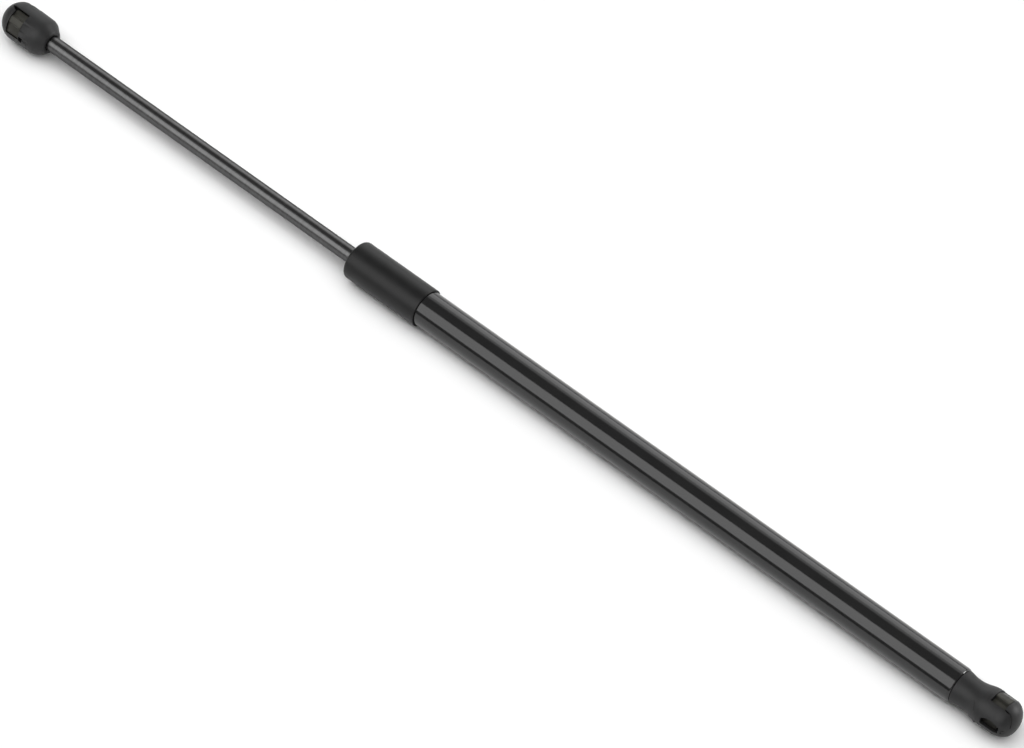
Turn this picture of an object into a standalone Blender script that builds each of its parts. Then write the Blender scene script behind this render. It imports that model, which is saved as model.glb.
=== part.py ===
"""Gas strut stay: a gas spring with a push-on ball socket at each end, stored fully extended.

X runs along the strut, rod end at -X and tube end at +X. The origin is the middle of the
overall length, on the strut's axis. Stations named *_S are millimetres along X from the
centre of the rod-end ball socket; MID_S is the station of the origin.
"""

import math

import bmesh
import bpy
from mathutils import Vector

MM = 0.001
GAP = 0.3
FINE = 48
COARSE = 32

# Overall layout, stations in mm from the rod-end ball centre.
BALL_TO_BALL = 600.0

# Rod and tube, radii in mm.
ROD_R = 4.0
ROD_THREAD_R = 3.0
ROD_SPIGOT_R = 2.5
TUBE_R = 9.0
TUBE_BORE_R = 7.8
TUBE_START_S = 219.7
TUBE_END_S = 577.2
TUBE_LIP = 1.2

# Protective sleeve.
SLEEVE_R = 9.85
SLEEVE_BORE_R = 9.15
SLEEVE_START_S = 216.7
SLEEVE_END_S = 260.6
SLEEVE_ROUND = 1.8

# Guide package, from the rolled lip inwards.
PACK_R = TUBE_BORE_R - GAP
WIPER_S = (221.2, 223.2)
GUIDE_S = (223.5, 231.5)
SEAL_S = (231.8, 235.8)
WASHER_S = (236.1, 237.3)
BEAD_S = (237.6, 240.6)
ROD_FIT_R = ROD_R + 0.15

# Piston package, on the rod's inner end.
STOP_S = (241.1, 244.9)
PISTON_S = (245.6, 253.6)
VALVE_S = (253.9, 254.7)
NUT_S = (255.0, 258.0)
ROD_TIP_S = 258.7
PISTON_BORE_R = ROD_SPIGOT_R + GAP

# Plug at the closed end.
PLUG_S = (567.2, 575.7)
STUD_R = 3.0
STUD_END_S = 587.0

# Ball socket heads, in each head's own frame: X towards the strut, Z out of the back,
# the ball's mouth facing -Z, origin at the ball's centre. The clip and its window sit a
# little nearer the strut than the ball's centre does.
ROD_HEAD_R = 9.85
ROD_NOSE_REACH = 10.1
ROD_CLIP_X = 1.9
ROD_HEAD_ROLL_DEG = 45.0
TUBE_HEAD_R = 9.6
TUBE_NOSE_REACH = 9.3
TUBE_CLIP_X = 1.1
TUBE_HEAD_ROLL_DEG = -30.0
CAVITY_R = 5.2
MOUTH_Z = -6.0
MOUTH_R = 6.3
FLAT_REACH = 8.6
RECESS_HALF_X = 4.1
RECESS_FLOOR_R = 6.5
CLIP_HALF_X = 3.7
CLIP_THICK = 0.7
STRAP_R = 9.1
SHELF_R = 8.65
PRY_R = 7.2
ARM_Y = 5.75
SIDE_SLOT_DEG = 103.0
RELIEF_DEG = 41.5

# The origin's station: half way between the tips of the two noses.
MID_S = (BALL_TO_BALL + TUBE_NOSE_REACH - ROD_NOSE_REACH) / 2

# name: (base colour, roughness, metallic)
FINISHES = {
    "gloss_black_paint": ((0.03, 0.03, 0.032), 0.25, 0.0),
    "nitrided_steel": ((0.10, 0.10, 0.105), 0.35, 0.9),
    "black_sleeve": ((0.018, 0.018, 0.019), 0.6, 0.0),
    "socket_plastic": ((0.045, 0.045, 0.048), 0.55, 0.0),
    "clip_steel": ((0.10, 0.095, 0.06), 0.4, 0.9),
    "plain_steel": ((0.45, 0.45, 0.46), 0.35, 0.9),
    "aluminium": ((0.6, 0.6, 0.62), 0.4, 0.9),
    "bush_bronze": ((0.45, 0.33, 0.15), 0.4, 0.8),
    "seal_rubber": ((0.02, 0.02, 0.02), 0.7, 0.0),
    "piston_plastic": ((0.75, 0.73, 0.68), 0.5, 0.0),
}


def clear_scene():
    for old in list(bpy.data.objects):
        bpy.data.objects.remove(old, do_unlink=True)


def make_material(name):
    colour, roughness, metallic = FINISHES[name]
    material = bpy.data.materials.get(name) or bpy.data.materials.new(name)
    material.use_nodes = True
    shader = material.node_tree.nodes["Principled BSDF"]
    shader.inputs["Base Color"].default_value = (*colour, 1.0)
    shader.inputs["Roughness"].default_value = roughness
    shader.inputs["Metallic"].default_value = metallic
    material.diffuse_color = (*colour, 1.0)
    return material


def add_object(name, bm, finish=None):
    bmesh.ops.recalc_face_normals(bm, faces=bm.faces)
    mesh = bpy.data.meshes.new(name)
    bm.to_mesh(mesh)
    bm.free()
    obj = bpy.data.objects.new(name, mesh)
    bpy.context.scene.collection.objects.link(obj)
    if finish:
        mesh.materials.append(make_material(finish))
        mesh.shade_smooth()
        mesh.set_sharp_from_angle(angle=math.radians(35))
    return obj


def spun(points, segments, axis, closed):
    """A solid of revolution. points are (along, radius) in mm; axis is X or Z.
    An open outline starts and ends on the axis; a closed one is a ring's section."""
    bm = bmesh.new()
    if axis == "X":
        verts = [bm.verts.new((a * MM, 0.0, r * MM)) for a, r in points]
        direction = (1.0, 0.0, 0.0)
    else:
        verts = [bm.verts.new((r * MM, 0.0, a * MM)) for a, r in points]
        direction = (0.0, 0.0, 1.0)
    edges = [bm.edges.new(pair) for pair in zip(verts, verts[1:])]
    if closed:
        edges.append(bm.edges.new((verts[-1], verts[0])))
    bmesh.ops.spin(
        bm,
        geom=verts + edges,
        axis=direction,
        cent=(0.0, 0.0, 0.0),
        steps=segments,
        angle=math.tau,
        use_duplicate=False,
    )
    bmesh.ops.remove_doubles(bm, verts=bm.verts, dist=1e-6)
    return bm


def ring(name, points, finish, segments=COARSE, at=0.0):
    """A ring about the strut's axis, its section given in stations and radii."""
    section = [(s - at, r) for s, r in points]
    obj = add_object(name, spun(section, segments, "X", True), finish)
    obj.location.x = (at - MID_S) * MM
    return obj


def turned(name, points, finish, segments=COARSE, at=0.0):
    """A turned piece that is solid on the strut's axis."""
    outline = [(s - at, r) for s, r in points]
    obj = add_object(name, spun(outline, segments, "X", False), finish)
    obj.location.x = (at - MID_S) * MM
    return obj


def prism(points, half_x):
    """A prism along X from a closed outline of (y, z) points in mm."""
    bm = bmesh.new()
    verts = [bm.verts.new((-half_x * MM, y * MM, z * MM)) for y, z in points]
    face = bm.faces.new(verts)
    grown = bmesh.ops.extrude_face_region(bm, geom=[face])
    moved = [v for v in grown["geom"] if isinstance(v, bmesh.types.BMVert)]
    bmesh.ops.translate(bm, verts=moved, vec=(2 * half_x * MM, 0.0, 0.0))
    return bm


def block(low, high):
    """A box between two corners in mm."""
    bm = bmesh.new()
    bmesh.ops.create_cube(bm, size=1.0)
    for v in bm.verts:
        for k in range(3):
            v.co[k] = (low[k] if v.co[k] < 0 else high[k]) * MM
    return bm


def cut(target, name, bm):
    """Subtracts a hidden cutter, which rides on the piece that it cuts."""
    tool = add_object(name, bm)
    tool.parent = target
    tool.hide_render = True
    tool.display_type = "WIRE"
    boolean = target.modifiers.new(name, "BOOLEAN")
    boolean.operation = "DIFFERENCE"
    boolean.solver = "EXACT"
    boolean.object = tool
    return tool


def arc(radius, start_deg, end_deg, steps):
    """Points (y, z) on a circle about X, angles from +Z towards +Y."""
    out = []
    for k in range(steps + 1):
        a = math.radians(start_deg + (end_deg - start_deg) * k / steps)
        out.append((radius * math.sin(a), radius * math.cos(a)))
    return out


def thickened(path, thick):
    """The closed outline of a strip of even thickness along a path of (y, z) points."""
    left, right = [], []
    for k, here in enumerate(path):
        p = Vector(here)
        before = (p - Vector(path[k - 1])).normalized() if k else None
        after = (Vector(path[k + 1]) - p).normalized() if k + 1 < len(path) else None
        a = before or after
        b = after or before
        normal = Vector((-(a.y + b.y), a.x + b.x)).normalized()
        reach = thick / 2 / max(0.5, normal.dot(Vector((-b.y, b.x))))
        left.append(tuple(p + normal * reach))
        right.append(tuple(p - normal * reach))
    return left + right[::-1]


def dome(radius, start, reach, steps=9):
    """Outline (x, r) of a head's rounded nose, from its tip to its widest ring."""
    out = []
    for k in range(steps + 1):
        a = math.pi / 2 * k / steps
        out.append((-start - (reach - start) * math.cos(a), radius * math.sin(a)))
    return out


def cavity_outline():
    """(z, r) of the ball seat with its straight mouth and 45 degree lead-in."""
    seat = []
    for k in range(9):
        a = math.pi / 2 * k / 8
        seat.append((CAVITY_R * math.cos(a), CAVITY_R * math.sin(a)))
    lead = MOUTH_R - CAVITY_R
    seat.append((MOUTH_Z + lead, CAVITY_R))
    seat.append((MOUTH_Z - 2.0, MOUTH_R + 2.0))
    seat.append((MOUTH_Z - 2.0, 0.0))
    return seat


def recess_outline():
    """(y, z) of the clip's recess: back window, arm slots and hook pockets in one cut."""
    right = [
        (5.1, 4.0),
        (5.1, 2.0),
        (3.9, 2.0),
        (3.9, -4.9),
        (6.45, -4.9),
        (6.45, 10.0),
    ]
    left = [(-y, z) for y, z in reversed(right)]
    return arc(RECESS_FLOOR_R, -40.0, 40.0, 10) + right + left


def clip_path():
    """(y, z) centre line of the clip: hook, arm, shelf, raised strap, pry plate, arm, hook."""
    left = [(-4.45, -2.7), (-ARM_Y, -4.0), (-ARM_Y, 6.0)]
    shelf = arc(SHELF_R, -38.0, -8.5, 4)
    strap = arc(STRAP_R, -4.0, 15.0, 3)
    pry = arc(PRY_R, 20.0, 41.0, 3)
    right = [(5.55, 4.6), (ARM_Y, 3.7), (ARM_Y, -4.0), (4.45, -2.7)]
    return left + shelf + strap + pry + right


def side_slot(side):
    """The cutter of a side slot: square below, arched on the side nearer the back."""
    outline = [(4.7, 2.2), (-4.7, 2.2)]
    for k in range(9):
        x = -4.7 + 9.4 * k / 8
        outline.append((x, -2.4 + 1.5 * (x / 4.7) ** 2))
    bm = bmesh.new()
    verts = [bm.verts.new((x * MM, side * y * MM, 5.9 * MM)) for x, y in outline]
    face = bm.faces.new(verts)
    grown = bmesh.ops.extrude_face_region(bm, geom=[face])
    moved = [v for v in grown["geom"] if isinstance(v, bmesh.types.BMVert)]
    bmesh.ops.translate(bm, verts=moved, vec=(0.0, 0.0, 5.1 * MM))
    return bm


def place_head(obj, station, roll_deg, turned_round):
    """Moves a piece from its head's frame to its end of the strut."""
    roll = math.radians(roll_deg)
    obj.rotation_euler = (-roll, 0.0, math.pi) if turned_round else (roll, 0.0, 0.0)
    obj.location.x = (station - MID_S) * MM


def socket_head(name, outline, bore, clip_x):
    """A plastic ball socket. outline is (x, r) from the tip to the strut's side; bore is
    the (x, r) outline of the threaded hole's cutter."""
    head = add_object(name, spun(outline, FINE, "X", False), "socket_plastic")
    flat = block((-12.0, -12.0, -14.0), (FLAT_REACH, 12.0, MOUTH_Z))
    cut(head, name + "_cut_flat", flat)
    cut(head, name + "_cut_seat", spun(cavity_outline(), COARSE, "Z", False))
    window = cut(head, name + "_cut_recess", prism(recess_outline(), RECESS_HALF_X))
    window.location.x = clip_x * MM
    for side in (-1, 1):
        tool = cut(head, f"{name}_cut_slot_{'left' if side < 0 else 'right'}", side_slot(side))
        tool.rotation_euler.x = -side * math.radians(SIDE_SLOT_DEG)
    relief = block((-5.0, -0.85, 7.4), (clip_x - RECESS_HALF_X + 0.7, 0.85, 11.0))
    tool = cut(head, name + "_cut_relief", relief)
    tool.rotation_euler.x = -math.radians(RELIEF_DEG)
    cut(head, name + "_cut_bore", spun(bore, COARSE, "X", False))
    return head


def build_rod_end_socket():
    outline = dome(ROD_HEAD_R, 0.5, ROD_NOSE_REACH) + [
        (14.2, ROD_HEAD_R - 0.3),
        (15.1, 9.25),
        (16.0, 8.6),
        (19.1, 6.0),
        (19.4, 5.5),
        (19.4, 0.0),
    ]
    bore = [
        (7.2, 0.0),
        (7.2, ROD_THREAD_R + GAP),
        (15.7, ROD_THREAD_R + GAP),
        (15.7, ROD_R + 0.35),
        (21.0, ROD_R + 0.35),
        (21.0, 0.0),
    ]
    head = socket_head("rod_end_socket", outline, bore, ROD_CLIP_X)
    corner = block((5.6, -1.3, 7.0), (8.5, 1.3, 11.0))
    tool = cut(head, "rod_end_socket_cut_corner", corner)
    tool.rotation_euler.x = math.radians(37.0)
    place_head(head, 0.0, ROD_HEAD_ROLL_DEG, False)


def build_tube_end_socket():
    start = BALL_TO_BALL - TUBE_END_S - GAP
    neck = [
        (7.0, TUBE_HEAD_R),
        (8.4, 9.4),
        (10.0, 8.95),
        (12.0, 8.35),
        (14.2, 7.9),
        (16.2, 7.72),
        (17.7, 7.72),
        (19.2, 7.85),
        (20.7, 8.15),
        (start, 8.5),
        (start, 0.0),
    ]
    outline = dome(TUBE_HEAD_R, 1.5, TUBE_NOSE_REACH) + neck
    hole_end = BALL_TO_BALL - STUD_END_S - GAP
    bore = [
        (hole_end, 0.0),
        (hole_end, STUD_R + GAP),
        (start + 2.0, STUD_R + GAP),
        (start + 2.0, 0.0),
    ]
    head = socket_head("tube_end_socket", outline, bore, TUBE_CLIP_X)
    place_head(head, BALL_TO_BALL, TUBE_HEAD_ROLL_DEG, True)


def build_clip(name, station, roll_deg, turned_round, clip_x):
    bm = prism(thickened(clip_path(), CLIP_THICK), CLIP_HALF_X)
    bmesh.ops.translate(bm, verts=bm.verts, vec=(clip_x * MM, 0.0, 0.0))
    place_head(add_object(name, bm, "clip_steel"), station, roll_deg, turned_round)


def build_tube():
    r, bore = TUBE_R, TUBE_BORE_R
    start, end = TUBE_START_S, TUBE_END_S
    low, high = BEAD_S
    outside = [
        (start, 7.4),
        (start + 0.4, 8.5),
        (start + 1.4, r),
        (low, r),
        (low + 0.8, r - 0.6),
        (high - 0.8, r - 0.6),
        (high, r),
        (end - 1.6, r),
        (end - 0.4, 8.6),
        (end, 7.9),
        (end, 5.9),
    ]
    inside = [
        (end - TUBE_LIP, 5.9),
        (end - TUBE_LIP, bore),
        (high, bore),
        (high - 0.8, bore - 0.6),
        (low + 0.8, bore - 0.6),
        (low, bore),
        (start + TUBE_LIP, bore),
        (start + TUBE_LIP, 5.4),
        (start, 5.4),
    ]
    ring("cylinder_tube", outside + inside, "gloss_black_paint", FINE, start)


def build_sleeve():
    start, end, turn = SLEEVE_START_S, SLEEVE_END_S, SLEEVE_ROUND
    front = []
    for k in range(5):
        a = math.pi / 2 * k / 4
        s = start + turn * (1 - math.sin(a))
        front.append((s, SLEEVE_R - turn * (1 - math.cos(a))))
    outside = front[::-1] + [(end - 0.25, SLEEVE_R), (end, SLEEVE_R - 0.2)]
    inside = [
        (end, SLEEVE_BORE_R),
        (start + 2.2, SLEEVE_BORE_R),
        (start + 1.4, SLEEVE_BORE_R - 0.8),
        (start + 1.4, ROD_R + 0.5),
        (start, ROD_R + 0.5),
    ]
    ring("protective_sleeve", outside + inside, "black_sleeve", FINE, start)


def build_rod():
    outline = [
        (7.5, 0.0),
        (7.5, 2.6),
        (7.9, ROD_THREAD_R),
        (16.0, ROD_THREAD_R),
        (16.0, ROD_R - 0.3),
        (16.3, ROD_R),
        (PISTON_S[0] - GAP, ROD_R),
        (PISTON_S[0] - GAP, ROD_SPIGOT_R),
        (ROD_TIP_S - 0.4, ROD_SPIGOT_R),
        (ROD_TIP_S, ROD_SPIGOT_R - 0.4),
        (ROD_TIP_S, 0.0),
    ]
    turned("piston_rod", outline, "nitrided_steel", COARSE, 7.5)


def build_guide_package():
    a, b = WIPER_S
    lip = [(a, ROD_FIT_R), (a, 5.0), (a + 0.3, 5.0), (a + 0.3, PACK_R), (b, PACK_R)]
    ring("wiper_ring", lip + [(b, 5.2), (a + 0.8, 4.8), (a + 0.5, ROD_FIT_R)], "seal_rubber")
    a, b = GUIDE_S
    groove = [(a + 2.4, PACK_R), (a + 2.4, 6.0), (a + 5.2, 6.0), (a + 5.2, PACK_R)]
    body = [(a, 5.2), (a, PACK_R - 0.4), (a + 0.4, PACK_R)]
    ring("rod_guide", body + groove + [(b, PACK_R), (b, 5.2)], "aluminium")
    bush = [(a + 0.2, ROD_FIT_R), (a + 0.2, 4.9), (b - 0.2, 4.9), (b - 0.2, ROD_FIT_R)]
    ring("guide_bush", bush, "bush_bronze")
    build_o_ring("guide_o_ring", a + 3.8, 6.95, 0.7)
    a, b = SEAL_S
    seal = [
        (a, ROD_FIT_R + 0.1),
        (a, PACK_R),
        (b, PACK_R),
        (b, 6.6),
        (a + 1.8, 6.3),
        (a + 1.8, 5.3),
        (b - 0.4, 5.0),
        (b - 0.4, ROD_FIT_R),
        (b - 1.2, ROD_FIT_R),
    ]
    ring("rod_seal", seal, "seal_rubber")
    a, b = WASHER_S
    washer = [(a, ROD_R + GAP), (a, PACK_R), (b, PACK_R), (b, ROD_R + GAP)]
    ring("seal_washer", washer, "plain_steel")


def build_o_ring(name, station, radius, thick):
    """An O-ring: thick is the radius of its round section."""
    section = []
    for k in range(10):
        a = math.tau * k / 10
        section.append((station + thick * math.cos(a), radius + thick * math.sin(a)))
    ring(name, section, "seal_rubber")


def build_piston_package():
    a, b = STOP_S
    stop = [(a, ROD_FIT_R), (a, 6.2), (a + 0.4, 6.6), (b - 0.4, 6.6), (b, 6.2)]
    ring("rebound_stop", stop + [(b, ROD_FIT_R)], "seal_rubber")
    a, b = PISTON_S
    top = [(a, PISTON_BORE_R), (a, 7.0), (a + 0.4, 7.4), (a + 2.6, 7.4)]
    groove = [(a + 2.6, 5.8), (a + 5.4, 5.8), (a + 5.4, 7.4)]
    tail = [(b - 0.4, 7.4), (b, 7.0), (b, PISTON_BORE_R)]
    piston = ring("piston", top + groove + tail, "aluminium", COARSE, a)
    for k, side in enumerate((-1, 1)):
        bm = spun([(-1.0, 0.0), (-1.0, 0.6), (9.0, 0.6), (9.0, 0.0)], 12, "X", False)
        cut(piston, f"piston_cut_port_{k + 1}", bm).location.z = side * 4.3 * MM
    c, d = a + 2.9, a + 5.1
    seal = [(c, 6.1), (c, 7.45), (c + 0.3, 7.6), (d - 0.3, 7.6), (d, 7.45), (d, 6.1)]
    ring("piston_ring", seal, "piston_plastic")
    c, d = VALVE_S
    disc = [(c, PISTON_BORE_R), (c, 6.0), (d, 6.0), (d, PISTON_BORE_R)]
    ring("valve_disc", disc, "plain_steel")
    build_nut()


def build_nut():
    """A hexagonal nut with a round bore, on the rod's spigot."""
    start, end = NUT_S
    half = (end - start) / 2
    hexagon = arc(5.0, 0.0, 300.0, 5)
    nut = add_object("piston_nut", prism(hexagon, half), "plain_steel")
    nut.location.x = (start + half - MID_S) * MM
    bore = [(-4.0, 0.0), (-4.0, PISTON_BORE_R), (4.0, PISTON_BORE_R), (4.0, 0.0)]
    cut(nut, "piston_nut_cut_bore", spun(bore, COARSE, "X", False))


def build_plug():
    a, b = PLUG_S
    lip_end = TUBE_END_S - GAP
    outline = [
        (a, 0.0),
        (a, PACK_R - 0.5),
        (a + 0.5, PACK_R),
        (a + 2.6, PACK_R),
        (a + 2.6, 5.6),
        (a + 5.4, 5.6),
        (a + 5.4, PACK_R),
        (b, PACK_R),
        (b, 5.5),
        (lip_end, 5.5),
        (lip_end, STUD_R),
        (STUD_END_S - 0.5, STUD_R),
        (STUD_END_S, STUD_R - 0.5),
        (STUD_END_S, 0.0),
    ]
    turned("tube_end_plug", outline, "plain_steel", COARSE, a)
    build_o_ring("plug_o_ring", a + 4.0, 6.75, 0.85)


def main():
    clear_scene()
    build_tube()
    build_sleeve()
    build_rod()
    build_guide_package()
    build_piston_package()
    build_plug()
    build_rod_end_socket()
    build_tube_end_socket()
    build_clip("rod_end_clip", 0.0, ROD_HEAD_ROLL_DEG, False, ROD_CLIP_X)
    build_clip("tube_end_clip", BALL_TO_BALL, TUBE_HEAD_ROLL_DEG, True, TUBE_CLIP_X)


main()
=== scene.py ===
"""The looks of the gas strut stay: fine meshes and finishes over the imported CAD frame."""

import math

import bmesh
import bpy
from mathutils import Matrix, Vector


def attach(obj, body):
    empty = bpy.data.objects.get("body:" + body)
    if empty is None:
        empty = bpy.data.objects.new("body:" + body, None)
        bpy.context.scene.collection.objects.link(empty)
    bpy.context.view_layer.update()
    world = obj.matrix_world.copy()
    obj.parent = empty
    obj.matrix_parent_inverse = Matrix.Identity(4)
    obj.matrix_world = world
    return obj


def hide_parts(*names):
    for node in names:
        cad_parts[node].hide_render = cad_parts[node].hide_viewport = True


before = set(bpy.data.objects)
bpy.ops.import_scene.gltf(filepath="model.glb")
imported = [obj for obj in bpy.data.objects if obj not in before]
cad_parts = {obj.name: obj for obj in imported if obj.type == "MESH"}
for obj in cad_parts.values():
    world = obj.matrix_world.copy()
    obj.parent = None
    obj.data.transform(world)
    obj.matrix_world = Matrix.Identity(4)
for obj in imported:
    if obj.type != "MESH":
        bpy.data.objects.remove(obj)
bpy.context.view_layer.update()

MM = 0.001

# Layout in mm along the strut, from the middle of the overall length. Each head's own
# frame has its origin at the ball's centre, X towards the strut and Z out of the back.
ROD_BALL = -299.6
TUBE_BALL = 300.4
TUBE_START, TUBE_END = -79.9, 277.6
SLEEVE_START, SLEEVE_END = -82.9, -39.0
ROD_END, ROD_SHOULDER, ROD_TIP = -292.1, -54.3, -40.9
FLOOR_Z = -9.87
ROD_HEAD_ROLL = 45.0
TUBE_HEAD_ROLL = -30.0
ROD_CLIP_X, TUBE_CLIP_X = 1.9, 1.1

ROD_HEAD_R, ROD_NOSE = 9.83, (0.5, 10.08)
TUBE_HEAD_R, TUBE_NOSE = 9.58, (1.5, 9.28)
BALL_SEAT_R = 5.2
MOUTH_Z = -6.0
MOUTH_R = 6.3
STUD_BORE_R = 3.3

# The clip's window in each head, and the slots beside it.
WINDOW_HALF_X = 3.95
WINDOW_HALF_Y = 6.45
WINDOW_TOP, WINDOW_LOW = 10.5, -4.9
SIDE_SLOT_DEG = 103.0
SIDE_SLOT_HALF_X = 4.7
RELIEF_DEG = 41.5
CORNER_DEG = -37.0
SLOT_FLOOR, SLOT_TOP = 5.9, 11.5
CREASE_R = 0.36
MOULDED_EDGE = 0.16

CLIP_THICK = 0.7
CLIP_HALF_X = 3.7
ARM_Y = 5.93
SHELF_R, STRAP_R = 8.65, 9.1
ROD_PRY_R, TUBE_PRY_R = 8.2, 7.2
STAMPED_EDGE = 0.12

# Segments round a full turn: the large pieces, the rod and the bores.
AROUND, ROD_AROUND, BORE_AROUND = 144, 96, 64
CEILING_LEVEL = 0.73
ROD_EDGE_TINT = (0.5, 0.5, 0.5)


# ---------------------------------------------------------------- mesh helpers


def fillet(points, closed=False, steps=5):
    """Rounds the corners of an outline of (a, b, reach) points."""
    out = []
    count = len(points)
    for k, (a, b, reach) in enumerate(points):
        if not reach or (not closed and k in (0, count - 1)):
            out.append((a, b))
            continue
        here = Vector((a, b))
        back = Vector(points[k - 1][:2]) - here
        ahead = Vector(points[(k + 1) % count][:2]) - here
        start = here + back.normalized() * min(reach, back.length * 0.49)
        end = here + ahead.normalized() * min(reach, ahead.length * 0.49)
        for j in range(steps + 1):
            t = j / steps
            q = start * (1 - t) ** 2 + here * (2 * t * (1 - t)) + end * t * t
            out.append((q.x, q.y))
    return out


def flowing(points, steps=6):
    """A smooth line through (a, b) points."""
    ends = [points[0]] + list(points) + [points[-1]]
    out = []
    for k in range(1, len(ends) - 2):
        p0, p1, p2, p3 = (Vector(ends[k + d]) for d in (-1, 0, 1, 2))
        for j in range(steps):
            t = j / steps
            a = 2 * p1 + (p2 - p0) * t
            b = (2 * p0 - 5 * p1 + 4 * p2 - p3) * t * t
            c = (3 * p1 - p0 - 3 * p2 + p3) * t ** 3
            q = (a + b + c) / 2
            out.append((q.x, q.y))
    return out + [tuple(points[-1])]


def arc(radius, start_deg, end_deg, steps):
    """Points (y, z) on a circle about X, angles from +Z towards +Y."""
    out = []
    for k in range(steps + 1):
        a = math.radians(start_deg + (end_deg - start_deg) * k / steps)
        out.append((radius * math.sin(a), radius * math.cos(a)))
    return out


def spun(points, closed, axis="X", segments=AROUND):
    """A solid of revolution from (along, radius) points in mm."""
    bm = bmesh.new()
    if axis == "X":
        verts = [bm.verts.new((a * MM, 0.0, r * MM)) for a, r in points]
        direction = (1.0, 0.0, 0.0)
    else:
        verts = [bm.verts.new((r * MM, 0.0, a * MM)) for a, r in points]
        direction = (0.0, 0.0, 1.0)
    edges = [bm.edges.new(pair) for pair in zip(verts, verts[1:])]
    if closed:
        edges.append(bm.edges.new((verts[-1], verts[0])))
    bmesh.ops.spin(
        bm,
        geom=verts + edges,
        axis=direction,
        cent=(0.0, 0.0, 0.0),
        steps=segments,
        angle=math.tau,
        use_duplicate=False,
    )
    bmesh.ops.remove_doubles(bm, verts=bm.verts, dist=1e-7)
    return bm


def prism(points, low_x, high_x):
    """A prism along X from a closed outline of (y, z) points in mm."""
    bm = bmesh.new()
    verts = [bm.verts.new((low_x * MM, y * MM, z * MM)) for y, z in points]
    face = bm.faces.new(verts)
    grown = bmesh.ops.extrude_face_region(bm, geom=[face])
    moved = [v for v in grown["geom"] if isinstance(v, bmesh.types.BMVert)]
    bmesh.ops.translate(bm, verts=moved, vec=((high_x - low_x) * MM, 0.0, 0.0))
    return bm


def sunk(outline, low_z, high_z, turn_deg):
    """A cutter that sinks in from the surface: an (x, y) outline, turned about X."""
    bm = bmesh.new()
    verts = [bm.verts.new((x * MM, y * MM, low_z * MM)) for x, y in outline]
    face = bm.faces.new(verts)
    grown = bmesh.ops.extrude_face_region(bm, geom=[face])
    moved = [v for v in grown["geom"] if isinstance(v, bmesh.types.BMVert)]
    bmesh.ops.translate(bm, verts=moved, vec=(0.0, 0.0, (high_z - low_z) * MM))
    turn = Matrix.Rotation(-math.radians(turn_deg), 4, "X")
    bmesh.ops.transform(bm, matrix=turn, verts=bm.verts)
    return bm


def box(low, high):
    """A block between two corners in mm."""
    bm = bmesh.new()
    bmesh.ops.create_cube(bm, size=1.0)
    for v in bm.verts:
        for k in range(3):
            v.co[k] = (low[k] if v.co[k] < 0 else high[k]) * MM
    return bm


def bead(points, radius):
    """A thin round bar through points in mm, used to cut a crease."""
    bm = bmesh.new()
    rings = []
    for k, here in enumerate(points):
        p = Vector(here)
        ahead = Vector(points[min(k + 1, len(points) - 1)])
        behind = Vector(points[max(k - 1, 0)])
        along = (ahead - behind).normalized()
        side = along.orthogonal().normalized()
        turn = Matrix.Rotation(math.tau / 8, 3, along)
        ring = []
        for _ in range(8):
            ring.append(bm.verts.new((p + side * radius) * MM))
            side = turn @ side
        rings.append(ring)
    first = Vector(rings[0][0].co)
    for k in range(1, len(rings)):
        best = min(range(8), key=lambda j: (rings[k][j].co - first).length)
        rings[k] = rings[k][best:] + rings[k][:best]
        first = Vector(rings[k][0].co)
    for one, two in zip(rings, rings[1:]):
        for j in range(8):
            m = (j + 1) % 8
            bm.faces.new((one[j], one[m], two[m], two[j]))
    bm.faces.new(rings[0][::-1])
    bm.faces.new(rings[-1])
    return bm


def thickened(path, thick):
    """The closed outline of a strip of even thickness along a path of (y, z) points."""
    left, right = [], []
    for k, here in enumerate(path):
        p = Vector(here)
        before = (p - Vector(path[k - 1])).normalized() if k else None
        after = (Vector(path[k + 1]) - p).normalized() if k + 1 < len(path) else None
        a = before or after
        b = after or before
        normal = Vector((-(a.y + b.y), a.x + b.x)).normalized()
        reach = thick / 2 / max(0.6, normal.dot(Vector((-b.y, b.x))))
        left.append(tuple(p + normal * reach))
        right.append(tuple(p - normal * reach))
    return left + right[::-1]


def add(name, bm):
    """Turns a bmesh into a named object in the scene."""
    bmesh.ops.recalc_face_normals(bm, faces=bm.faces)
    mesh = bpy.data.meshes.new(name)
    bm.to_mesh(mesh)
    bm.free()
    obj = bpy.data.objects.new(name, mesh)
    bpy.context.scene.collection.objects.link(obj)
    return obj


def carve(obj, cutters):
    """Cuts each cutter out of obj and keeps the result as obj's mesh."""
    tools = [add(f"{obj.name}_tool_{k}", bm) for k, bm in enumerate(cutters)]
    for tool in tools:
        boolean = obj.modifiers.new(tool.name, "BOOLEAN")
        boolean.operation = "DIFFERENCE"
        boolean.solver = "EXACT"
        boolean.object = tool
    keep_result(obj)
    for tool in tools:
        bpy.data.objects.remove(tool)


def keep_result(obj):
    """Makes the modifiers' result the object's own mesh."""
    bpy.context.view_layer.update()
    graph = bpy.context.evaluated_depsgraph_get()
    made = bpy.data.meshes.new_from_object(obj.evaluated_get(graph))
    obj.modifiers.clear()
    obj.data = made


def soften(obj, width, segments=3, angle=32.0):
    """Rounds the sharp edges that a moulded or stamped piece doesn't have."""
    bevel = obj.modifiers.new("edges", "BEVEL")
    bevel.width = width * MM
    bevel.segments = segments
    bevel.limit_method = "ANGLE"
    bevel.angle_limit = math.radians(angle)
    bevel.use_clamp_overlap = True
    keep_result(obj)


def shade(obj, angle=38.0):
    obj.data.shade_smooth()
    obj.data.set_sharp_from_angle(angle=math.radians(angle))


def settle(obj, material, body, slot, *nodes):
    """Gives a piece its finish, its body and the CAD nodes that it stands for."""
    obj.data.materials.clear()
    obj.data.materials.append(material)
    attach(obj, body)
    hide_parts(*nodes)
    return obj


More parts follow.
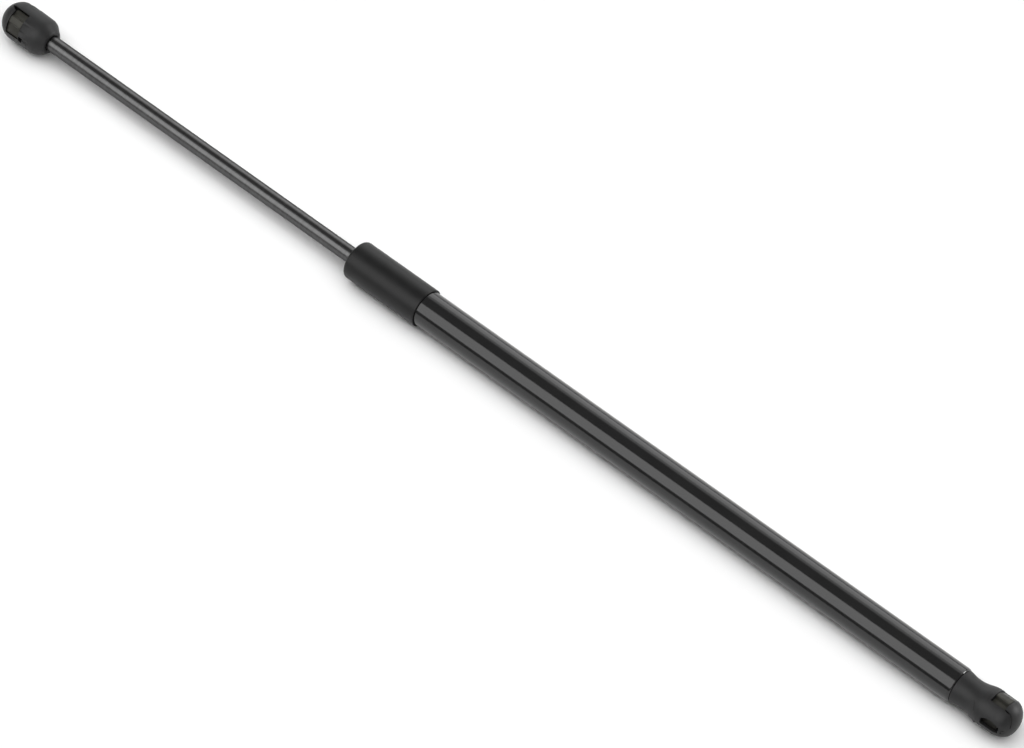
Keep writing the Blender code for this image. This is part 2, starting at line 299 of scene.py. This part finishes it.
# ---------------------------------------------------------------- finishes


def mottled(name, dark, light, rough, metallic, grain, bump, shine, stretch):
    """A procedural finish: mottled colour, uneven roughness and a fine grain."""
    material = bpy.data.materials.new(name)
    material.use_nodes = True
    tree = material.node_tree
    shader = tree.nodes["Principled BSDF"]
    shader.inputs["Metallic"].default_value = metallic
    shader.inputs["Specular IOR Level"].default_value = shine
    where = tree.nodes.new("ShaderNodeTexCoord")
    scale = tree.nodes.new("ShaderNodeMapping")
    scale.inputs["Scale"].default_value = stretch
    tree.links.new(where.outputs["Object"], scale.inputs["Vector"])

    broad = tree.nodes.new("ShaderNodeTexNoise")
    broad.inputs["Scale"].default_value = grain * 0.06
    broad.inputs["Detail"].default_value = 4.0
    tree.links.new(scale.outputs["Vector"], broad.inputs["Vector"])
    ramp = tree.nodes.new("ShaderNodeValToRGB")
    ramp.color_ramp.elements[0].position = 0.3
    ramp.color_ramp.elements[0].color = (*dark, 1.0)
    ramp.color_ramp.elements[1].position = 0.7
    ramp.color_ramp.elements[1].color = (*light, 1.0)
    tree.links.new(broad.outputs["Fac"], ramp.inputs["Fac"])
    tree.links.new(ramp.outputs["Color"], shader.inputs["Base Color"])

    fine = tree.nodes.new("ShaderNodeTexNoise")
    fine.inputs["Scale"].default_value = grain
    fine.inputs["Detail"].default_value = 5.0
    tree.links.new(scale.outputs["Vector"], fine.inputs["Vector"])
    spread = tree.nodes.new("ShaderNodeMapRange")
    spread.inputs["To Min"].default_value = rough[0]
    spread.inputs["To Max"].default_value = rough[1]
    tree.links.new(fine.outputs["Fac"], spread.inputs["Value"])
    tree.links.new(spread.outputs["Result"], shader.inputs["Roughness"])

    relief = tree.nodes.new("ShaderNodeBump")
    relief.inputs["Strength"].default_value = bump
    relief.inputs["Distance"].default_value = 0.00005
    tree.links.new(fine.outputs["Fac"], relief.inputs["Height"])
    tree.links.new(relief.outputs["Normal"], shader.inputs["Normal"])
    return material


def make_finishes():
    """slot: (dark, light, roughness range, metallic, grain, bump, shine)"""
    table = {
        "gloss_black_paint": ((0.009,) * 3, (0.012,) * 3, (0.1, 0.14), 0.0, 1500, 0.03, 0.5),
        "nitrided_steel": ((0.085,) * 3, (0.11,) * 3, (0.26, 0.33), 1.0, 900, 0.1, 0.5),
        "black_sleeve": ((0.004,) * 3, (0.006,) * 3, (0.4, 0.47), 0.0, 3000, 0.1, 0.27),
        "socket_plastic": (
            (0.009, 0.009, 0.0092),
            (0.014, 0.014, 0.0143),
            (0.44, 0.54),
            0.0,
            2600,
            0.25,
            0.3,
        ),
        "clip_steel": (
            (0.03, 0.0293, 0.0245),
            (0.041, 0.0398, 0.0335),
            (0.34, 0.44),
            0.3,
            1800,
            0.2,
            0.2,
        ),
        "plain_steel": ((0.36, 0.36, 0.37), (0.5, 0.5, 0.51), (0.3, 0.42), 1.0, 1800, 0.2, 0.5),
        "aluminium": ((0.52, 0.52, 0.54), (0.66, 0.66, 0.68), (0.32, 0.45), 1.0, 1800, 0.2, 0.5),
        "bush_bronze": ((0.38, 0.27, 0.12), (0.5, 0.37, 0.18), (0.35, 0.5), 1.0, 1800, 0.2, 0.5),
        "seal_rubber": ((0.014,) * 3, (0.022,) * 3, (0.6, 0.75), 0.0, 2600, 0.3, 0.4),
        "piston_plastic": ((0.68, 0.66, 0.6), (0.78, 0.76, 0.7), (0.4, 0.5), 0.0, 2200, 0.2, 0.5),
    }
    stretches = {"nitrided_steel": (14.0, 1.0, 1.0), "gloss_black_paint": (0.6, 1.0, 1.0)}
    out = {}
    for slot, values in table.items():
        out[slot] = mottled(slot + "_look", *values, stretches.get(slot, (1.0, 1.0, 1.0)))
    rod = out["nitrided_steel"].node_tree.nodes["Principled BSDF"]
    rod.inputs["Specular Tint"].default_value = (*ROD_EDGE_TINT, 1.0)
    return out


# ---------------------------------------------------------------- pieces


def build_tube(finish):
    outline = [
        (TUBE_START, 5.4, 0.1),
        (TUBE_START, 8.98, 1.5),
        (TUBE_END, 8.98, 2.0),
        (TUBE_END, 6.6, 0.2),
        (TUBE_END, 5.95, 0.15),
        (TUBE_END - 1.2, 5.95, 0.1),
        (TUBE_END - 1.2, 7.8, 0.3),
        (TUBE_START + 1.2, 7.8, 0.3),
        (TUBE_START + 1.2, 5.4, 0.1),
    ]
    tube = add("strut_tube", spun(fillet(outline, True, 8), True))
    shade(tube, 50)
    slot = "gloss_black_paint"
    settle(tube, finish[slot], "cylinder", slot, "cylinder_tube")


def build_sleeve(finish):
    outline = [
        (SLEEVE_START, 4.5, 0.3),
        (SLEEVE_START, 9.83, 2.0),
        (SLEEVE_END, 9.83, 0.35),
        (SLEEVE_END, 9.15, 0.1),
        (SLEEVE_START + 2.0, 9.15, 1.0),
        (SLEEVE_START + 1.4, 4.5, 0.2),
    ]
    sleeve = add("sleeve", spun(fillet(outline, True, 8), True))
    shade(sleeve, 50)
    slot = "black_sleeve"
    settle(sleeve, finish[slot], "cylinder", slot, "protective_sleeve")


def build_rod(finish):
    outline = [
        (ROD_END, 0.0, 0),
        (ROD_END, 3.0, 0.5),
        (ROD_END + 8.5, 3.0, 0.2),
        (ROD_END + 8.5, 4.0, 0.4),
        (ROD_SHOULDER, 4.0, 0.2),
        (ROD_SHOULDER, 2.5, 0.1),
        (ROD_TIP, 2.5, 0.5),
        (ROD_TIP, 0.0, 0),
    ]
    rod = add("rod", spun(fillet(outline), False, segments=ROD_AROUND))
    shade(rod, 50)
    slot = "nitrided_steel"
    settle(rod, finish[slot], "rod_assembly", slot, "piston_rod")


def nose(radius, start, reach):
    """Outline of a head's rounded nose, from its tip to its widest ring."""
    out = []
    for k in range(29):
        a = math.pi / 2 * k / 28
        out.append((-start - (reach - start) * math.cos(a), radius * math.sin(a)))
    return out


def seat():
    """The ball seat with its straight mouth and lead-in."""
    points = []
    for k in range(17):
        a = math.pi / 2 * k / 16
        points.append((BALL_SEAT_R * math.cos(a), BALL_SEAT_R * math.sin(a)))
    lead = MOUTH_R - BALL_SEAT_R
    points.append((MOUTH_Z + lead, BALL_SEAT_R))
    points.append((MOUTH_Z - 2.0, MOUTH_R + 2.0))
    points.append((MOUTH_Z - 2.0, 0.0))
    return spun(points, False, "Z", BORE_AROUND)


def recess(clip_x):
    """The clip's recess: back window, arm slots and hook pockets in one cut."""
    right = [(5.1, 4.0), (5.1, 2.0), (3.9, 2.0), (3.9, WINDOW_LOW)]
    right += [(WINDOW_HALF_Y, WINDOW_LOW), (WINDOW_HALF_Y, WINDOW_TOP)]
    left = [(-y, z) for y, z in reversed(right)]
    floor = arc(6.5, -40.0, 40.0, 24)
    return prism(floor + right + left, clip_x - WINDOW_HALF_X, clip_x + WINDOW_HALF_X)


def side_slot(side):
    """A side slot, arched on the side nearer the back."""
    outline = [(SIDE_SLOT_HALF_X, side * 2.2), (-SIDE_SLOT_HALF_X, side * 2.2)]
    for k in range(17):
        share = k / 8 - 1
        outline.append((SIDE_SLOT_HALF_X * share, side * (-2.4 + 1.5 * share ** 2)))
    return sunk(outline, SLOT_FLOOR, SLOT_TOP, side * SIDE_SLOT_DEG)


def on_nose(radius, start, reach, x, turn_deg, sink=0.0):
    """A point on a nose's surface in mm, turned from the head's back."""
    share = min(1.0, max(0.0, (-x - start) / (reach - start)))
    r = radius * math.sqrt(1 - share * share) - sink
    a = math.radians(turn_deg)
    return (x, r * math.sin(a), r * math.cos(a))


def head_cutters(clip_x, relief):
    """What every socket head has cut out of it; relief outlines its slot by the window."""
    return [
        box((-12.0, -12.0, -14.0), (8.6, 12.0, MOUTH_Z)),
        seat(),
        recess(clip_x),
        side_slot(1),
        side_slot(-1),
        sunk(relief, SLOT_FLOOR, SLOT_TOP, RELIEF_DEG),
    ]


def head_crease(radius, nose_size):
    """The parting crease from the window's corner round the nose."""
    stops = [(-4.4, 40.5), (-5.4, 41.5), (-6.3, 44.0), (-7.0, 50.0), (-7.5, 58.0)]
    stops += [(-7.9, 68.0), (-8.1, 80.0), (-8.2, 92.0)]
    line = [on_nose(radius, *nose_size, x, turn) for x, turn in stops]
    return bead(line, CREASE_R)


def place(obj, station, roll_deg, turned_round):
    """Moves a mesh from a head's own frame to its place on the strut."""
    turn = Matrix.Rotation(math.radians(roll_deg), 4, "X")
    if turned_round:
        turn = turn @ Matrix.Rotation(math.pi, 4, "Z")
    obj.data.transform(Matrix.Translation((station * MM, 0.0, 0.0)) @ turn)


def build_rod_end_head(finish):
    flank = fillet(
        [
            (-0.5, ROD_HEAD_R, 0),
            (14.6, ROD_HEAD_R - 0.3, 1.8),
            (19.1, 6.0, 0.5),
            (19.4, 5.4, 0.3),
            (19.4, 0.0, 0),
        ]
    )
    head = add("rod_end_fitting", spun(nose(ROD_HEAD_R, *ROD_NOSE) + flank[1:], False))
    bore = [(7.2, 0.0), (7.2, STUD_BORE_R), (15.7, STUD_BORE_R)]
    bore += [(15.7, 4.35), (21.0, 4.35), (21.0, 0.0)]
    corner = [(6.2, -1.4), (8.2, -1.4), (8.6, 1.4), (6.2, 1.4)]
    extras = [spun(bore, False, segments=BORE_AROUND)]
    extras.append(sunk(corner, 7.0, SLOT_TOP, CORNER_DEG))
    rim = [on_nose(ROD_HEAD_R - 0.25, *ROD_NOSE, 0.0, turn) for turn in range(-60, -25, 5)]
    extras.append(bead([(11.1, y, z) for _, y, z in rim], 0.13))
    extras.append(head_crease(ROD_HEAD_R, ROD_NOSE))
    relief = [(-5.2, 0.6), (-4.2, -0.2), (-3.2, -0.9), (-2.3, -1.3), (-1.6, -1.0)]
    relief += [(-1.0, -0.5), (5.85, -0.5), (5.85, 0.45), (-1.0, 0.5)]
    relief += [(-3.0, 0.75), (-5.2, 1.1)]
    carve(head, head_cutters(ROD_CLIP_X, relief) + extras)
    soften(head, MOULDED_EDGE)
    shade(head)
    place(head, ROD_BALL, ROD_HEAD_ROLL, False)
    slot = "socket_plastic"
    settle(head, finish[slot], "rod_assembly", slot, "rod_end_socket")


def build_tube_end_head(finish):
    start = TUBE_BALL - TUBE_END - 0.12
    neck = [
        (6.2, TUBE_HEAD_R),
        (7.2, 9.55),
        (8.6, 9.35),
        (10.2, 8.9),
        (12.2, 8.32),
        (14.2, 7.9),
        (16.2, 7.72),
        (17.7, 7.72),
        (19.2, 7.85),
        (20.7, 8.13),
        (start - 0.12, 8.42),
    ]
    flank = flowing(neck) + [(start, 8.3), (start, 0.0)]
    head = add("tube_end_fitting", spun(nose(TUBE_HEAD_R, *TUBE_NOSE) + flank, False))
    stud = [(12.7, 0.0), (12.7, STUD_BORE_R), (start + 2.0, STUD_BORE_R), (start + 2.0, 0.0)]
    mark = spun([(0, 0.7), (0, 1.2), (3, 1.2), (3, 0.7)], True, "Z", 32)
    spot = Vector(on_nose(TUBE_HEAD_R, *TUBE_NOSE, -6.2, 112.0, 0.4))
    facing = Vector((0.9 * spot.x, spot.y, spot.z)).normalized()
    turn = facing.to_track_quat("Z", "Y").to_matrix().to_4x4()
    lay = Matrix.Translation(spot * MM) @ turn
    bmesh.ops.transform(mark, matrix=lay, verts=mark.verts)
    root = [(10.9, 70.0, 8.62), (10.4, 76.0, 8.78), (9.8, 84.0, 8.96), (9.3, 94.0, 9.1)]
    turns = [(x, math.radians(t), r) for x, t, r in root]
    fold = bead([(x, r * math.sin(t), r * math.cos(t)) for x, t, r in turns], 0.15)
    extras = [spun(stud, False, segments=BORE_AROUND), mark, fold]
    extras.append(head_crease(TUBE_HEAD_R, TUBE_NOSE))
    relief = [(-5.0, -0.3), (-2.3, -0.3), (-2.3, 0.3), (-5.0, 0.3)]
    carve(head, head_cutters(TUBE_CLIP_X, relief) + extras)
    soften(head, MOULDED_EDGE)
    shade(head)
    place(head, TUBE_BALL, TUBE_HEAD_ROLL, True)
    slot = "socket_plastic"
    settle(head, finish[slot], "cylinder", slot, "tube_end_socket")


def clip_path(pry_radius):
    """Centre line of the clip: hook, arm, shelf, raised strap, pry plate, arm, hook."""
    rising = arc(SHELF_R + 0.2, -40.5, -36.0, 2)
    shelf = [(y, z, 0) for y, z in rising + arc(SHELF_R, -30.0, -9.0, 8)]
    strap = [(y, z, 0) for y, z in arc(STRAP_R, -3.0, 13.0, 8)]
    pry = [(y, z, 0) for y, z in arc(pry_radius, 21.0, 40.0, 7)]
    line = [(-4.45, -2.7, 0), (-ARM_Y, -4.0, 0.5), (-ARM_Y, 6.4, 0.35)]
    line += shelf + [(-1.2, 8.57, 0.25), (-0.62, 9.08, 0.25)] + strap
    line += [(2.4, 8.8, 0.3), (2.35, pry_radius - 0.3, 0.35)] + pry
    line += [(5.2, 5.05, 0.3), (ARM_Y, 3.7, 0.5), (ARM_Y, -4.0, 0.5)]
    return fillet(line + [(4.45, -2.7, 0)], False, 4)


def build_clip(name, node, spot, body, finish):
    station, roll_deg, turned_round, clip_x, pry_radius = spot
    outline = thickened(clip_path(pry_radius), CLIP_THICK)
    clip = add(name, prism(outline, clip_x - CLIP_HALF_X, clip_x + CLIP_HALF_X))
    soften(clip, STAMPED_EDGE, 2, 50.0)
    shade(clip, 40)
    place(clip, station, roll_deg, turned_round)
    slot = "clip_steel"
    settle(clip, finish[slot], body, slot, node)


def finish_inner_nodes(finish):
    """The CAD nodes that stay as they are, inside the tube."""
    slots = {
        "tube_end_plug": "plain_steel",
        "plug_o_ring": "seal_rubber",
        "wiper_ring": "seal_rubber",
        "rod_guide": "aluminium",
        "guide_bush": "bush_bronze",
        "guide_o_ring": "seal_rubber",
        "rod_seal": "seal_rubber",
        "seal_washer": "plain_steel",
        "rebound_stop": "seal_rubber",
        "piston": "aluminium",
        "piston_ring": "piston_plastic",
        "valve_disc": "plain_steel",
        "piston_nut": "plain_steel",
    }
    for node, slot in slots.items():
        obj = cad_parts[node]
        obj.data.materials.clear()
        obj.data.materials.append(finish[slot])


# ---------------------------------------------------------------- studio


def build_floor():
    bm = bmesh.new()
    bmesh.ops.create_grid(bm, x_segments=1, y_segments=1, size=4.0)
    floor = add("studio_floor", bm)
    floor.location.z = FLOOR_Z * MM
    paper = bpy.data.materials.new("paper")
    paper.use_nodes = True
    shader = paper.node_tree.nodes["Principled BSDF"]
    shader.inputs["Base Color"].default_value = (0.9, 0.9, 0.9, 1.0)
    shader.inputs["Roughness"].default_value = 0.9
    shader.inputs["Specular IOR Level"].default_value = 0.1
    floor.data.materials.append(paper)


def strip_light(name, from_top_deg, half_deg, radiance, distance=2.5, long=6.0):
    """A long soft box beside the strut. from_top_deg is its angle from straight up,
    positive on the camera's side; half_deg is half of what it spans from the strut."""
    wide = 2 * distance * math.tan(math.radians(half_deg))
    lamp = bpy.data.lights.new(name, "AREA")
    lamp.shape = "RECTANGLE"
    lamp.size = long
    lamp.size_y = wide
    lamp.energy = radiance * math.pi * long * wide
    obj = bpy.data.objects.new(name, lamp)
    bpy.context.scene.collection.objects.link(obj)
    a = math.radians(from_top_deg)
    obj.location = (-0.9, -distance * math.sin(a), distance * math.cos(a))
    obj.rotation_euler.x = a
    return obj


def spark():
    """A small lamp behind the tube end, for the glint on its shoulder."""
    lamp = bpy.data.lights.new("spark", "AREA")
    lamp.size = 0.8
    lamp.energy = 40.0
    obj = bpy.data.objects.new("spark", lamp)
    bpy.context.scene.collection.objects.link(obj)
    away = Vector((0.6, 0.78, 0.18))
    obj.location = Vector((TUBE_END * MM, 0.0, 0.0)) + away * 3.0
    obj.rotation_euler = away.to_track_quat("Z", "Y").to_euler()
    return obj


def build_lights():
    """Boxes that only the gloss sees, and a ceiling that lights the floor and its shadow."""
    boxes = [
        strip_light("front_box", 46.0, 26.0, 2.3),
        strip_light("back_box", -67.0, 17.0, 1.9),
        strip_light("back_fade", -43.0, 9.0, 0.9, 2.6),
        spark(),
    ]
    for box_light in boxes:
        box_light.visible_diffuse = False
    ceilings = [
        strip_light("ceiling_wide", -5.0, 37.0, CEILING_LEVEL, 3.0, 14.0),
        strip_light("ceiling_middle", 3.0, 29.0, CEILING_LEVEL, 3.1, 14.0),
        strip_light("ceiling_core", 12.0, 20.0, CEILING_LEVEL, 3.2, 14.0),
    ]
    for ceiling in ceilings:
        ceiling.visible_glossy = False
    world = bpy.data.worlds.new("studio")
    world.use_nodes = True
    shade_node = world.node_tree.nodes["Background"]
    shade_node.inputs["Color"].default_value = (0.16, 0.16, 0.16, 1.0)
    bpy.context.scene.world = world


def build_camera():
    """The photo's angle: 41.5 degrees round from the front and 53 degrees up."""
    data = bpy.data.cameras.new("camera")
    data.lens = 204.77
    data.sensor_width = 36.0
    data.sensor_fit = "HORIZONTAL"
    data.clip_start = 0.1
    data.clip_end = 50.0
    camera = bpy.data.objects.new("camera", data)
    bpy.context.scene.collection.objects.link(camera)
    a, e = math.radians(41.546), math.radians(53.101)
    back = Vector((math.sin(a) * math.cos(e), -math.cos(a) * math.cos(e), math.sin(e)))
    camera.location = (1.07771, -1.20055, 2.13281)
    camera.rotation_euler = back.to_track_quat("Z", "Y").to_euler()
    bpy.context.scene.camera = camera
    bpy.context.scene.view_settings.view_transform = "Standard"


def main():
    finish = make_finishes()
    build_tube(finish)
    build_sleeve(finish)
    build_rod(finish)
    build_rod_end_head(finish)
    build_tube_end_head(finish)
    spot = (ROD_BALL, ROD_HEAD_ROLL, False, ROD_CLIP_X, ROD_PRY_R)
    build_clip("rod_end_spring_clip", "rod_end_clip", spot, "rod_end_clip", finish)
    spot = (TUBE_BALL, TUBE_HEAD_ROLL, True, TUBE_CLIP_X, TUBE_PRY_R)
    build_clip("tube_end_spring_clip", "tube_end_clip", spot, "tube_end_clip", finish)
    finish_inner_nodes(finish)
    build_floor()
    build_lights()
    build_camera()


main()
